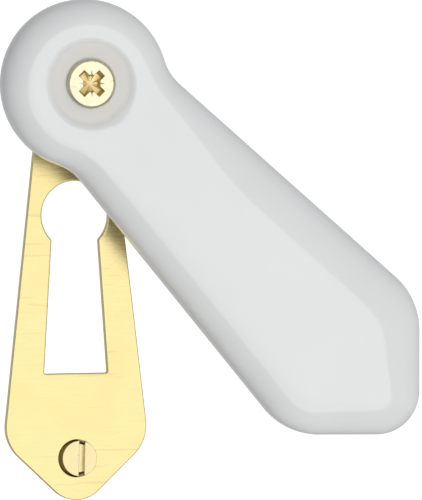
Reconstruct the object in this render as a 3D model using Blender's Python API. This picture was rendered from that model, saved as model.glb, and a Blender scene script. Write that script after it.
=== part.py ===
"""Covered keyhole escutcheon: a porcelain cover that swings on a brass plate.

The frame is that of the door. +Z is up, +X is right, and the front looks along -Y. The origin is
on the pivot's axis, where it meets the door. Flat shapes are drawn in X and Z, and "height" is
the distance in front of the door, so a point at height h has y = -h. Sizes are in millimetres.
"""
import math

import bpy
import bmesh
from mathutils import Vector

MM = 0.001

# Stack of heights in front of the door.
PLATE_THICKNESS = 1.1
COVER_UNDERSIDE = 2.1
COVER_CROWN = 12.2
RECESS_FLOOR = 10.5
PIVOT_SCREW_FACE = 11.2
PILLAR_TOP = 7.0
FIXING_SCREW_PROUD = 0.5
GAP = 0.1

# Cover: a round head, a neck, flanks that widen to two shoulders, and a blunt point.
COVER_SWING = 44.2
COVER_HEAD_RADIUS = 11.65
COVER_NECK_RADIUS = 7.2
COVER_SHOULDER = (13.48, 54.75)
COVER_SHOULDER_RADIUS = 10.0
COVER_FLANK_ANGLE = 4.9
COVER_END_ANGLE = 44.7
COVER_TIP_RADIUS = 6.1
COVER_TOP_ROUNDING = 5.0
COVER_BOTTOM_ROUNDING = 4.4
COVER_BORE_RADIUS = 3.3
RECESS_FLOOR_RADIUS = 5.65
RECESS_RIM_RADIUS = 7.7

# Plate: a round top, flanks, two shoulders and a blunt point.
PLATE_SHOULDER = (10.28, 49.3)
PLATE_SHOULDER_RADIUS = 5.6
PLATE_FLANK_ANGLE = 6.4
PLATE_END_ANGLE = 46.4
PLATE_TIP_RADIUS = 4.5
PLATE_EDGE_ROUNDING = 0.4

# Keyhole: a round hole over a slot that widens to a flat foot.
KEYHOLE_DROP = 17.95
KEYHOLE_RADIUS = 4.75
KEYHOLE_NECK_RADIUS = 0.4
KEYHOLE_FOOT = (4.54, 21.88)
KEYHOLE_FLANK_ANGLE = 3.7
KEYHOLE_CORNER_RADIUS = 0.25

# Pillar riveted into the plate, and the bush and spring washer around it.
PILLAR_RADIUS = 2.5
PILLAR_TAIL_RADIUS = 1.8
PILLAR_RIVET_FLARE = 0.5
PILLAR_HOLE_RADIUS = 1.7
PILLAR_HOLE_FLOOR = 2.2
BUSH_RADIUS = 3.2
BUSH_TOP = 10.2
WASHER_OUTER_RADIUS = 4.3
WASHER_THICKNESS = 0.25
WASHER_WAVES = 3

# Pivot screw: flat countersunk head with a cross recess.
PIVOT_HEAD_RADIUS = 3.4
PIVOT_HEAD_CHAMFER = 0.25
PIVOT_HEAD_LAND = 0.2
PIVOT_SHANK_RADIUS = 1.6
PIVOT_SHANK_END = 2.6
CROSS_REACH = 2.2
CROSS_WIDTH = 0.95
CROSS_POCKET_RADIUS = 1.45
CROSS_DEPTH = 1.7
CROSS_TURN = 45.0

# Fixing screws: slotted countersunk wood screws.
UPPER_SCREW_DROP = 8.3
LOWER_SCREW_DROP = 51.6
LOWER_SCREW_SHIFT = 0.3
UPPER_SCREW_TURN = -35.0
LOWER_SCREW_TURN = 1.8
FIXING_HEAD_RADIUS = 2.45
FIXING_HEAD_LAND = 0.25
FIXING_SHANK_RADIUS = 1.25
FIXING_LENGTH = 12.7
FIXING_POINT = 4.0
SLOT_WIDTH = 0.8
SLOT_DEPTH = 0.75
SLOT_SHIFT = 0.3
COUNTERSINK_RADIUS = 2.62
COUNTERSINK_HOLE_RADIUS = 1.65

ROUND_STEPS = 48


def clear_scene():
    for old in list(bpy.data.objects):
        bpy.data.objects.remove(old, do_unlink=True)


def make_material(name, colour, roughness, metallic):
    material = bpy.data.materials.new(name)
    material.use_nodes = True
    shader = material.node_tree.nodes["Principled BSDF"]
    shader.inputs["Base Color"].default_value = (*colour, 1.0)
    shader.inputs["Roughness"].default_value = roughness
    shader.inputs["Metallic"].default_value = metallic
    return material


# Outlines. Each is a list of (point, outward normal) pairs in X and Z.

def arc(centre, radius, start, end, steps, hollow=False):
    """An arc from one angle to another, in degrees from +X towards +Z."""
    pairs = []
    for step in range(steps + 1):
        angle = math.radians(start + (end - start) * step / steps)
        ray = Vector((math.cos(angle), math.sin(angle)))
        pairs.append((Vector(centre) + radius * ray, -ray if hollow else ray))
    return pairs


def unit(degrees):
    return Vector((math.cos(math.radians(degrees)), math.sin(math.radians(degrees))))


def corner_centre(corner, first_angle, second_angle, radius):
    """Centre of the arc that rounds the corner of two edges, given by their outward normals."""
    first, second = unit(first_angle), unit(second_angle)
    return corner - radius * (first + second) / (1.0 + first.dot(second))


def neck_arc(head_radius, neck_radius, corner, flank_angle, steps):
    """The hollow arc between a round head at the origin and a flank, and where the head ends."""
    normal = unit(flank_angle)
    across = normal.dot(corner) + neck_radius
    along = math.sqrt((head_radius + neck_radius) ** 2 - across ** 2)
    centre = across * normal + along * Vector((normal.y, -normal.x))
    head_end = math.degrees(math.atan2(centre.y, centre.x))
    return arc(centre, neck_radius, head_end + 180, flank_angle + 180, steps, hollow=True), head_end


def mirrored(right_half):
    """Close an outline whose right half runs from its highest point to its lowest."""
    left_half = [(Vector((-p.x, p.y)), Vector((-n.x, n.y))) for p, n in reversed(right_half)]
    return right_half + [pair for pair in left_half if abs(pair[0].x) > 1e-6]


def cover_outline():
    corner = Vector((COVER_SHOULDER[0], -COVER_SHOULDER[1]))
    neck, head_end = neck_arc(COVER_HEAD_RADIUS, COVER_NECK_RADIUS, corner, COVER_FLANK_ANGLE, 7)
    shoulder = corner_centre(corner, COVER_FLANK_ANGLE, -COVER_END_ANGLE, COVER_SHOULDER_RADIUS)
    end_normal = unit(-COVER_END_ANGLE)
    tip = Vector((0.0, (end_normal.dot(corner) - COVER_TIP_RADIUS) / end_normal.y))
    return mirrored(
        arc((0, 0), COVER_HEAD_RADIUS, 90, head_end, 18)[:-1] + neck
        + arc(shoulder, COVER_SHOULDER_RADIUS, COVER_FLANK_ANGLE, -COVER_END_ANGLE, 9)
        + arc(tip, COVER_TIP_RADIUS, -COVER_END_ANGLE, -90, 6))


def plate_outline():
    corner = Vector((PLATE_SHOULDER[0], -PLATE_SHOULDER[1]))
    top_radius = unit(PLATE_FLANK_ANGLE).dot(corner)
    shoulder = corner_centre(corner, PLATE_FLANK_ANGLE, -PLATE_END_ANGLE, PLATE_SHOULDER_RADIUS)
    end_normal = unit(-PLATE_END_ANGLE)
    tip = Vector((0.0, (end_normal.dot(corner) - PLATE_TIP_RADIUS) / end_normal.y))
    return mirrored(
        arc((0, 0), top_radius, 90, PLATE_FLANK_ANGLE, 8)
        + arc(shoulder, PLATE_SHOULDER_RADIUS, PLATE_FLANK_ANGLE, -PLATE_END_ANGLE, 7)
        + arc(tip, PLATE_TIP_RADIUS, -PLATE_END_ANGLE, -90, 6))


def keyhole_outline():
    """The keyhole about the centre of its round part."""
    corner = Vector((KEYHOLE_FOOT[0], -KEYHOLE_FOOT[1]))
    neck, head_end = neck_arc(KEYHOLE_RADIUS, KEYHOLE_NECK_RADIUS, corner, KEYHOLE_FLANK_ANGLE, 4)
    foot = corner_centre(corner, KEYHOLE_FLANK_ANGLE, -90, KEYHOLE_CORNER_RADIUS)
    return mirrored(
        arc((0, 0), KEYHOLE_RADIUS, 90, head_end, 14)[:-1] + neck
        + arc(foot, KEYHOLE_CORNER_RADIUS, KEYHOLE_FLANK_ANGLE, -90, 4))


def circle(radius):
    return [radius * unit(360.0 * step / ROUND_STEPS) for step in range(ROUND_STEPS)]


def inset(outline, distance):
    return [point - distance * normal for point, normal in outline]


def at_height(points, height):
    return [Vector((point.x, -height, point.y)) for point in points]


# Solids.

def loft(name, loops, ring=False):
    """Skin a stack of loops: closed at both ends by a flat face, or back on itself as a ring."""
    shape = bmesh.new()
    rows = [[shape.verts.new(point * MM) for point in loop] for loop in loops]
    pairs = list(zip(rows, rows[1:]))
    if ring:
        pairs.append((rows[-1], rows[0]))
    else:
        shape.faces.new(rows[0])
        shape.faces.new(rows[-1])
    for lower, upper in pairs:
        for index in range(len(lower)):
            after = (index + 1) % len(lower)
            shape.faces.new((lower[index], lower[after], upper[after], upper[index]))
    bmesh.ops.recalc_face_normals(shape, faces=shape.faces)
    mesh = bpy.data.meshes.new(name)
    shape.to_mesh(mesh)
    shape.free()
    return mesh


def turned(name, profile, ring=False):
    """A turned solid from (radius, height) points along the pivot's direction."""
    return loft(name, [at_height(circle(radius), height) for radius, height in profile], ring)


def place(mesh, material, location=(0, 0, 0), parent=None):
    mesh.shade_smooth()
    mesh.set_sharp_from_angle(angle=math.radians(35))
    mesh.materials.append(material)
    piece = bpy.data.objects.new(mesh.name, mesh)
    piece.location = Vector(location) * MM
    piece.parent = parent
    bpy.context.collection.objects.link(piece)
    return piece


def cut(piece, cutter_mesh, location=(0, 0, 0), turn=0.0):
    """Cut a shape out of a piece. The cutter is placed about the piece's own origin."""
    cutter = bpy.data.objects.new(cutter_mesh.name, cutter_mesh)
    bpy.context.collection.objects.link(cutter)
    cutter.parent = piece
    cutter.location = Vector(location) * MM
    cutter.rotation_euler.y = math.radians(turn)
    cutter.hide_render = True
    cutter.display_type = "WIRE"
    boolean = piece.modifiers.new(cutter_mesh.name, "BOOLEAN")
    boolean.operation = "DIFFERENCE"
    boolean.object = cutter


def quarter(steps):
    return [math.radians(90.0 * step / steps) for step in range(steps + 1)]


# Pieces.

def make_back_plate(brass):
    outline = plate_outline()
    wall = PLATE_THICKNESS - PLATE_EDGE_ROUNDING
    loops = [at_height(inset(outline, 0), 0)]
    for angle in quarter(3):
        loops.append(at_height(
            inset(outline, PLATE_EDGE_ROUNDING * (1 - math.cos(angle))),
            wall + PLATE_EDGE_ROUNDING * math.sin(angle)))
    plate = place(loft("back_plate", loops), brass)
    cut(plate, keyhole_cutter(wall), (0, 0, -KEYHOLE_DROP))
    rivet_hole = PILLAR_TAIL_RADIUS + GAP
    flared_hole = rivet_hole + PILLAR_RIVET_FLARE
    cut(plate, turned("rivet_hole_cutter", [
        (flared_hole, -1), (flared_hole, 0), (rivet_hole, PILLAR_RIVET_FLARE), (rivet_hole, 3)]))
    slope = (COUNTERSINK_RADIUS - COUNTERSINK_HOLE_RADIUS) / PLATE_THICKNESS
    countersink = [
        (COUNTERSINK_HOLE_RADIUS, -1), (COUNTERSINK_HOLE_RADIUS, 0),
        (COUNTERSINK_RADIUS + slope, PLATE_THICKNESS + 1)]
    cut(plate, turned("upper_countersink_cutter", countersink), (0, 0, -UPPER_SCREW_DROP))
    cut(plate, turned("lower_countersink_cutter", countersink), (0, 0, -LOWER_SCREW_DROP))


def keyhole_cutter(wall):
    """The keyhole's shape, flaring with the rolled edge at the plate's front."""
    outline = keyhole_outline()
    loops = [at_height(inset(outline, 0), -1)]
    for angle in quarter(3):
        loops.append(at_height(
            inset(outline, -PLATE_EDGE_ROUNDING * (1 - math.cos(angle))),
            wall + PLATE_EDGE_ROUNDING * math.sin(angle)))
    loops.append(at_height(inset(outline, -PLATE_EDGE_ROUNDING), PLATE_THICKNESS + 1))
    return loft("keyhole_cutter", loops)


def make_pivot_pillar(brass):
    """A post riveted flush into the plate, tapped from its front end."""
    shoulder = PLATE_THICKNESS + GAP
    pillar = place(turned("pivot_pillar", [
        (PILLAR_TAIL_RADIUS + PILLAR_RIVET_FLARE, 0),
        (PILLAR_TAIL_RADIUS, PILLAR_RIVET_FLARE),
        (PILLAR_TAIL_RADIUS, shoulder),
        (PILLAR_RADIUS, shoulder),
        (PILLAR_RADIUS, PILLAR_TOP)]), brass)
    cut(pillar, turned("tapped_hole_cutter", [
        (PILLAR_HOLE_RADIUS, PILLAR_HOLE_FLOOR), (PILLAR_HOLE_RADIUS, PILLAR_TOP + 1)]))


def make_wave_washer(steel):
    """A spring washer whose waves press the cover forward, against the pivot screw's head."""
    low = PLATE_THICKNESS + GAP
    high = COVER_UNDERSIDE - GAP
    middle = (low + high) / 2
    swell = (high - low - WASHER_THICKNESS) / 2
    inner = PILLAR_RADIUS + 1.5 * GAP
    loops = []
    for radius, side in ((inner, -1), (WASHER_OUTER_RADIUS, -1), (WASHER_OUTER_RADIUS, 1), (inner, 1)):
        loop = []
        for step in range(ROUND_STEPS):
            around = 2 * math.pi * step / ROUND_STEPS
            height = middle + swell * math.sin(WASHER_WAVES * around) + side * WASHER_THICKNESS / 2
            loop.append(Vector((radius * math.cos(around), -height, radius * math.sin(around))))
        loops.append(loop)
    place(loft("wave_washer", loops, ring=True), steel)


def make_swing_cover(porcelain, swing):
    outline = cover_outline()
    loops = []
    for angle in quarter(5):
        loops.append(at_height(
            inset(outline, COVER_BOTTOM_ROUNDING * (1 - math.sin(angle))),
            COVER_UNDERSIDE + COVER_BOTTOM_ROUNDING * (1 - math.cos(angle))))
    for angle in quarter(6):
        loops.append(at_height(
            inset(outline, COVER_TOP_ROUNDING * (1 - math.cos(angle))),
            COVER_CROWN - COVER_TOP_ROUNDING * (1 - math.sin(angle))))
    cover = place(loft("swing_cover", loops), porcelain, parent=swing)
    cut(cover, recess_cutter())


def recess_cutter():
    """The cover's bore, and the soft-edged recess around it at the front."""
    profile = [(COVER_BORE_RADIUS, COVER_UNDERSIDE - 1), (COVER_BORE_RADIUS, RECESS_FLOOR)]
    steps = 6
    width = RECESS_RIM_RADIUS - RECESS_FLOOR_RADIUS
    depth = COVER_CROWN - RECESS_FLOOR
    for step in range(steps):
        share = step / steps
        profile.append((
            RECESS_FLOOR_RADIUS + width * share,
            RECESS_FLOOR + depth * (1 - math.cos(math.pi * share)) / 2))
    profile.append((RECESS_RIM_RADIUS, COVER_CROWN + 1))
    return turned("recess_cutter", profile)


def make_cover_bush(nylon, swing):
    """The lining of the cover's bore. It turns on the pillar, and the screw's head seats in it."""
    running = PILLAR_RADIUS + GAP
    throat = PIVOT_SHANK_RADIUS + 1.5 * GAP
    step = PILLAR_TOP + GAP
    seat_bottom = PIVOT_SCREW_FACE - PIVOT_HEAD_CHAMFER - PIVOT_HEAD_LAND - PIVOT_HEAD_RADIUS
    mouth = BUSH_TOP - seat_bottom + GAP
    place(turned("cover_bush", [
        (BUSH_RADIUS, COVER_UNDERSIDE + GAP), (BUSH_RADIUS, BUSH_TOP), (mouth, BUSH_TOP),
        (throat, BUSH_TOP - (mouth - throat)), (throat, step), (running, step),
        (running, COVER_UNDERSIDE + GAP)], ring=True), nylon, parent=swing)


def make_pivot_screw(brass):
    land_top = PIVOT_SCREW_FACE - PIVOT_HEAD_CHAMFER
    land_bottom = land_top - PIVOT_HEAD_LAND
    screw = place(turned("pivot_screw", [
        (PIVOT_SHANK_RADIUS - 0.3, PIVOT_SHANK_END),
        (PIVOT_SHANK_RADIUS, PIVOT_SHANK_END + 0.3),
        (PIVOT_SHANK_RADIUS, land_bottom - (PIVOT_HEAD_RADIUS - PIVOT_SHANK_RADIUS)),
        (PIVOT_HEAD_RADIUS, land_bottom),
        (PIVOT_HEAD_RADIUS, land_top),
        (PIVOT_HEAD_RADIUS - PIVOT_HEAD_CHAMFER, PIVOT_SCREW_FACE)]), brass)
    cut(screw, cross_cutter(), turn=CROSS_TURN)


def cross_cutter():
    """A cross recess: four arms that narrow with depth around a round pocket."""
    floor = PIVOT_SCREW_FACE - CROSS_DEPTH
    above = PIVOT_SCREW_FACE + 0.5
    loops = []
    for height, reach, width, pocket in (
            (floor, 0.6 * CROSS_REACH, 0.7 * CROSS_WIDTH, 0.55 * CROSS_POCKET_RADIUS),
            (PIVOT_SCREW_FACE, CROSS_REACH, CROSS_WIDTH, CROSS_POCKET_RADIUS),
            (above, 1.05 * CROSS_REACH, CROSS_WIDTH, CROSS_POCKET_RADIUS)):
        loop = []
        for arm in range(4):
            along = unit(90.0 * arm)
            side = Vector((-along.y, along.x))
            loop.append(reach * along - width / 2 * side)
            loop.append(reach * along + width / 2 * side)
            loop.append(pocket * (along + side).normalized() * 0.85)
        loops.append(at_height(loop, height))
    return loft("cross_cutter", loops)


def make_fixing_screw(name, brass, shift, drop, turn):
    """A wood screw. Its origin is on the door's face, and its shank runs into the door."""
    face = PLATE_THICKNESS + FIXING_SCREW_PROUD
    land_bottom = face - FIXING_HEAD_LAND
    tip = face - FIXING_LENGTH
    screw = place(turned(name, [
        (0.15, tip),
        (FIXING_SHANK_RADIUS, tip + FIXING_POINT),
        (FIXING_SHANK_RADIUS, land_bottom - (FIXING_HEAD_RADIUS - FIXING_SHANK_RADIUS)),
        (FIXING_HEAD_RADIUS, land_bottom),
        (FIXING_HEAD_RADIUS, face)]), brass, (shift, 0, -drop))
    screw.rotation_euler.y = math.radians(turn)
    reach = 2 * FIXING_HEAD_RADIUS
    sides = [Vector((SLOT_SHIFT + across * SLOT_WIDTH / 2, along * reach))
             for across, along in ((-1, -1), (1, -1), (1, 1), (-1, 1))]
    cut(screw, loft(name + "_slot_cutter", [
        at_height(sides, face - SLOT_DEPTH), at_height(sides, face + 1)]))


def main():
    clear_scene()
    brass = make_material("brass", (0.89, 0.74, 0.36), 0.32, 1.0)
    porcelain = make_material("porcelain", (0.86, 0.86, 0.85), 0.12, 0.0)
    nylon = make_material("nylon", (0.82, 0.80, 0.74), 0.5, 0.0)
    steel = make_material("spring_steel", (0.62, 0.62, 0.60), 0.35, 1.0)

    swing = bpy.data.objects.new("cover_swing_axis", None)
    swing.rotation_euler.y = math.radians(-COVER_SWING)
    bpy.context.collection.objects.link(swing)

    make_back_plate(brass)
    make_pivot_pillar(brass)
    make_wave_washer(steel)
    make_swing_cover(porcelain, swing)
    make_cover_bush(nylon, swing)
    make_pivot_screw(brass)
    make_fixing_screw("upper_fixing_screw", brass, 0, UPPER_SCREW_DROP, UPPER_SCREW_TURN)
    make_fixing_screw("lower_fixing_screw", brass, LOWER_SCREW_SHIFT, LOWER_SCREW_DROP,
                      LOWER_SCREW_TURN)


if __name__ == "__main__":
    main()
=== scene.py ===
"""Covered keyhole escutcheon: the finished look of a porcelain cover on a brass plate.

+Z is up, +X is right and the front looks along -Y. The origin is on the pivot's axis, where it
meets the door. Flat shapes are drawn in X and Z. A height is a distance in front of the door, so
a point at height h has y = -h, and a drop is a distance below the pivot.
"""
import math

import bmesh
import bpy
import numpy as np
from bpy.props import FloatProperty, FloatVectorProperty, IntProperty, PointerProperty
from mathutils import Matrix, Vector


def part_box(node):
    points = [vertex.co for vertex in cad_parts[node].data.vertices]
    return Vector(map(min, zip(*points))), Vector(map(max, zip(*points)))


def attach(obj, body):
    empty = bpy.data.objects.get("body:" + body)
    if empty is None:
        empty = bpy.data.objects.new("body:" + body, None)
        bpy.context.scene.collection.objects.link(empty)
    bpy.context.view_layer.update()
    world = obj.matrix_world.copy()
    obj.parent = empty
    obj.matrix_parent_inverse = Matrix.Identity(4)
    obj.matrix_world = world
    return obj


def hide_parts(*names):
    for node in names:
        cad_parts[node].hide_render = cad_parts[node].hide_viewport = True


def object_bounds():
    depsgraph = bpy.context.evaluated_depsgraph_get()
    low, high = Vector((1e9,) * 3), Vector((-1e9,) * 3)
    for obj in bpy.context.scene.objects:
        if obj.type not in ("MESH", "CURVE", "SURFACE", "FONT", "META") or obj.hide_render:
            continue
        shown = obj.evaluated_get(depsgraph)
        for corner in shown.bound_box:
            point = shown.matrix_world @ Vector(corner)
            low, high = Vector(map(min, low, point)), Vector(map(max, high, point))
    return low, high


bl_info = {
    "name": "Covered Keyhole Escutcheon",
    "version": (1, 0, 0),
    "blender": (4, 5, 0),
    "location": "3D View > Sidebar > Escutcheon",
    "description": "Makes a porcelain keyhole cover on its brass plate, with screws and stage",
    "category": "Add Mesh",
}

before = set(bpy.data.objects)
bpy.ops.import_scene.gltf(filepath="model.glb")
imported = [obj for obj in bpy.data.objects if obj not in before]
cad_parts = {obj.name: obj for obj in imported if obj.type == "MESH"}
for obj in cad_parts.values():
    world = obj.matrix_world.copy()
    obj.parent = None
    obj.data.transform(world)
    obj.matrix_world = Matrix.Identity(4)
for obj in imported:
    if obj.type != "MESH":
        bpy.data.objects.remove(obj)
cad_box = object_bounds()

MM = 0.001
PLATE_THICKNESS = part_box("back_plate")[1].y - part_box("back_plate")[0].y
COVER_UNDERSIDE = -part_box("swing_cover")[1].y
COVER_CROWN = -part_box("swing_cover")[0].y
PIVOT_SCREW_FACE = -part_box("pivot_screw")[0].y
PIVOT_SCREW_END = -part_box("pivot_screw")[1].y
PILLAR_TOP = -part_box("pivot_pillar")[0].y
BUSH_TOP = -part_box("cover_bush")[0].y
FIXING_SCREWS = ("upper_fixing_screw", "lower_fixing_screw")
GAP = 0.1 * MM
LIGHT_DISTANCE = 950.0 * MM
LIGHT_AIM = Vector((15.0 * MM, 0.0, -25.0 * MM))


# ---------------------------------------------------------------- settings

def length(name, description, default):
    return FloatProperty(name=name, description=description, default=default * MM,
                         unit="LENGTH", subtype="DISTANCE", precision=5)


def angle(name, description, default):
    return FloatProperty(name=name, description=description, default=math.radians(default),
                         unit="ROTATION", subtype="ANGLE")


def colour(name, description, default):
    return FloatVectorProperty(name=name, description=description, default=default, size=3,
                               subtype="COLOR", min=0.0, max=1.0)


def number(name, description, default, least=0.0, most=20.0):
    return FloatProperty(name=name, description=description, default=default,
                         min=least, max=most)


class CoverSettings(bpy.types.PropertyGroup):
    swing: angle("Swing", "How far the cover is swung open from hanging straight", 44.2)
    head_radius: length("Head radius", "Radius of the cover's round head", 11.65)
    neck_radius: length("Neck radius", "Radius of the hollow between head and flank", 7.2)
    shoulder_half_width: length("Shoulder half width", "Half width where flank and end meet", 13.48)
    shoulder_drop: length("Shoulder drop", "Where flank and end meet, below the pivot", 54.75)
    shoulder_radius: length("Shoulder radius", "Rounding of the shoulders", 10.0)
    flank_angle: angle("Flank angle", "How fast each flank widens", 4.9)
    end_angle: angle("End angle", "Slope of the two edges that meet at the tip", 44.7)
    tip_radius: length("Tip radius", "Rounding of the tip", 6.1)
    widest_height: length("Widest height", "Height of the widest line above the door", 6.5)
    dome_spread: number(
        "Dome spread", "1 is flat along the middle, more is rounder", 1.2, 1.0, 2.0)
    dome_fullness: number(
        "Dome fullness", "2 is an ellipse, more has squarer edges", 2.3, 1.5, 4.0)
    side_height: length("Side height", "Height where the side starts to round over", 7.2)
    head_crown: length("Head crown", "Height of the crest round the screw's recess", 11.1)
    bore_radius: length("Bore radius", "Radius of the hole for the bush", 3.3)
    recess_floor_height: length("Recess floor", "Height of the floor around the screw", 10.5)
    recess_floor_radius: length("Recess floor radius", "Radius of the flat floor", 5.2)
    recess_rim_radius: length("Recess rim radius", "Radius where the recess meets the top", 6.5)
    glaze: colour("Glaze", "Colour of the porcelain", (0.80, 0.806, 0.802))
    # This colour is also painted shade on the seat round the screw.
    dry_clay_and_seat_shade: colour("Dry clay", "Colour of the unglazed back", (0.72, 0.70, 0.66))
    speck: colour("Speck", "Colour of the specks in the glaze", (0.42, 0.37, 0.30))


class PlateSettings(bpy.types.PropertyGroup):
    shoulder_half_width: length("Shoulder half width", "Half width where flank and end meet", 10.28)
    shoulder_drop: length("Shoulder drop", "Where flank and end meet, below the pivot", 49.3)
    shoulder_radius: length("Shoulder radius", "Rounding of the shoulders", 5.6)
    flank_angle: angle("Flank angle", "How fast each flank widens", 6.4)
    end_angle: angle("End angle", "Slope of the two edges that meet at the tip", 46.4)
    tip_radius: length("Tip radius", "Rounding of the tip", 4.5)
    edge_rounding: length("Edge rounding", "Rounding of the sheared outer edge", 0.14)
    keyhole_draw: length("Keyhole draw-in", "Width of the soft edge that piercing leaves", 0.35)
    keyhole_drop: length("Keyhole drop", "Centre of the keyhole's round part", 17.95)
    keyhole_radius: length("Keyhole radius", "Radius of the round part", 4.75)
    keyhole_neck_radius: length("Keyhole neck radius", "Rounding where slot meets round", 0.4)
    keyhole_foot_half_width: length(
        "Keyhole foot half width", "Half width of the slot's foot", 4.54)
    keyhole_foot_drop: length("Keyhole foot drop", "Slot's foot below the round centre", 21.88)
    keyhole_flank_angle: angle("Keyhole flank angle", "How fast the slot widens", 3.7)
    keyhole_corner_radius: length("Keyhole corner radius", "Rounding of the foot's corners", 0.25)
    countersink_radius: length("Countersink radius", "Mouth of a screw hole at the front", 2.62)
    screw_hole_radius: length("Screw hole radius", "Screw hole at the door", 1.65)
    brass: colour("Brass", "Colour of the sheet brass", (0.575, 0.486, 0.238))


class PivotSettings(bpy.types.PropertyGroup):
    pillar_radius: length("Pillar radius", "Radius of the riveted post", 2.5)
    pillar_tail_radius: length("Tail radius", "Radius of the riveted tail", 1.8)
    rivet_flare: length("Rivet flare", "How far the tail spreads at the door", 0.5)
    tapped_radius: length("Tapped hole radius", "Radius of the thread's hole", 1.7)
    tapped_floor: length("Tapped hole floor", "Height of the hole's floor", 2.2)
    bush_radius: length("Bush radius", "Outer radius of the nylon bush", 3.2)
    head_radius: length("Head radius", "Radius of the pivot screw's head", 3.4)
    head_chamfer: length("Head chamfer", "Bevel round the head's face", 0.25)
    head_land: length("Head land", "Straight rim under the bevel", 0.2)
    shank_radius: length("Shank radius", "Radius of the pivot screw's core", 1.42)
    thread_pitch: length("Thread pitch", "Pitch of the machine thread", 0.6)
    cross_reach: length("Cross reach", "Length of each arm of the recess", 2.05)
    cross_width: length("Cross width", "Width of each arm of the recess", 1.1)
    cross_pocket: length("Cross pocket", "Radius of the recess between its arms", 1.22)
    cross_depth: length("Cross depth", "Depth of the recess", 1.3)
    cross_turn: angle("Cross turn", "How far the recess is turned", 45.0)
    # Pale colour of the pivot screw: a painted highlight on its face.
    highlight_pale_brass: colour("Plating", "Colour of the plated pivot screw", (0.565, 0.532, 0.375))
    recess_brass: colour("Bare brass", "Colour inside the cross recess", (0.70, 0.56, 0.28))
    nylon: colour("Nylon", "Colour of the bush", (0.80, 0.78, 0.71))


class WasherSettings(bpy.types.PropertyGroup):
    inner_radius: length("Inner radius", "Hole of the spring washer", 2.65)
    outer_radius: length("Outer radius", "Rim of the spring washer", 4.3)
    thickness: length("Thickness", "Thickness of the strip", 0.25)
    waves: IntProperty(name="Waves", description="Waves round the washer", default=3, min=2, max=8)
    steel: colour("Steel", "Colour of the spring steel", (0.56, 0.56, 0.55))


class FixingScrewSettings(bpy.types.PropertyGroup):
    head_radius: length("Head radius", "Radius of the countersunk head", 2.45)
    head_land: length("Head land", "Straight rim of the head", 0.25)
    core_radius: length("Core radius", "Radius of the threaded part's core", 0.95)
    shank_radius: length("Shank radius", "Radius of the plain shank", 1.25)
    shank_length: length("Shank length", "Plain length under the head", 3.2)
    point_length: length("Point length", "Length of the tapering point", 3.4)
    thread_pitch: length("Thread pitch", "Pitch of the wood thread", 1.25)
    slot_width: length("Slot width", "Width of the slot", 0.8)
    slot_depth: length("Slot depth", "Depth of the slot", 0.75)
    slot_shift: length("Slot shift", "How far the slot is off centre", 0.3)
    upper_turn: angle("Upper turn", "How far the upper screw is turned", -35.0)
    lower_turn: angle("Lower turn", "How far the lower screw is turned", 1.8)
    brass: colour("Screw brass", "Colour of the turned brass", (0.535, 0.452, 0.249))


class StageSettings(bpy.types.PropertyGroup):
    azimuth: angle("Azimuth", "Camera's way round the object, from the front", -15.725)
    elevation: angle("Elevation", "Camera's height above level", 0.87)
    roll: angle("Roll", "Camera's tilt about its own axis", 0.405)
    distance: length("Distance", "From camera to aim point", 600.0)
    lens: number("Lens", "Focal length in millimetres", 309.0, 1.0, 1000.0)
    aim_across: length("Aim across", "Aim point, right of the pivot", 19.805)
    aim_drop: length("Aim drop", "Aim point, below the pivot", 22.996)
    surround: number("Surround", "Brightness of the room that lights the object", 0.345)
    mirrored: number("Mirrored", "Brightness of the room where the object mirrors it", 0.65)
    backdrop: number("Backdrop", "Brightness of the plain backdrop", 1.1)
    soft_box_azimuth: angle("Soft box azimuth", "Soft box's way round, from the front", 3.4)
    soft_box_elevation: angle("Soft box elevation", "Soft box's height above level", -13.0)
    soft_box_reach: angle("Soft box reach", "Half angle that the soft box fills", 32.0)
    soft_box: number("Soft box", "Brightness of the large round soft box", 1.05)
    fill_light: number("Fill light", "Brightness of the light in front that isn't mirrored", 0.5)
    side_light: number("Side light", "Brightness of the broad light above and right", 0.38)
    back_light: number("Back light", "Brightness of the broad light behind", 0.8)
    broad_reach: angle("Broad reach", "Half angle that each of those three lights fills", 26.0)
    floor_drop: length("Floor drop", "Floor below the lowest point of the object", 1000.0)
    floor: colour("Floor", "Colour of the plain floor", (0.9, 0.9, 0.9))


class EscutcheonSettings(bpy.types.PropertyGroup):
    cover: PointerProperty(type=CoverSettings)
    plate: PointerProperty(type=PlateSettings)
    pivot: PointerProperty(type=PivotSettings)
    washer: PointerProperty(type=WasherSettings)
    fixing: PointerProperty(type=FixingScrewSettings)
    stage: PointerProperty(type=StageSettings)


# ---------------------------------------------------------------- outlines
# An outline is a list of (point, outward normal) pairs in X and Z.

def ray(turn):
    return Vector((math.cos(turn), math.sin(turn)))


def arc(centre, radius, start, end, steps, hollow=False):
    """An arc from one angle to another, from +X towards +Z."""
    pairs = []
    for step in range(steps + 1):
        out = ray(start + (end - start) * step / steps)
        pairs.append((Vector(centre) + radius * out, -out if hollow else out))
    return pairs


def corner_centre(corner, first_turn, second_turn, radius):
    """Centre of the arc that rounds the corner of two edges, given by their outward normals."""
    first, second = ray(first_turn), ray(second_turn)
    return corner - radius * (first + second) / (1.0 + first.dot(second))


def neck_arc(head_radius, neck_radius, corner, flank, steps):
    """The hollow arc between a round head at the origin and a flank, and where the head ends."""
    normal = ray(flank)
    across = normal.dot(corner) + neck_radius
    along = math.sqrt((head_radius + neck_radius) ** 2 - across ** 2)
    centre = across * normal + along * Vector((normal.y, -normal.x))
    head_end = math.atan2(centre.y, centre.x)
    hollow = arc(centre, neck_radius, head_end + math.pi, flank + math.pi, steps, hollow=True)
    return hollow, head_end


def mirrored(right_half):
    """Close an outline whose right half runs from its highest point to its lowest."""
    left_half = [(Vector((-p.x, p.y)), Vector((-n.x, n.y))) for p, n in reversed(right_half)]
    return right_half + [pair for pair in left_half if abs(pair[0].x) > 1e-9]


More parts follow.
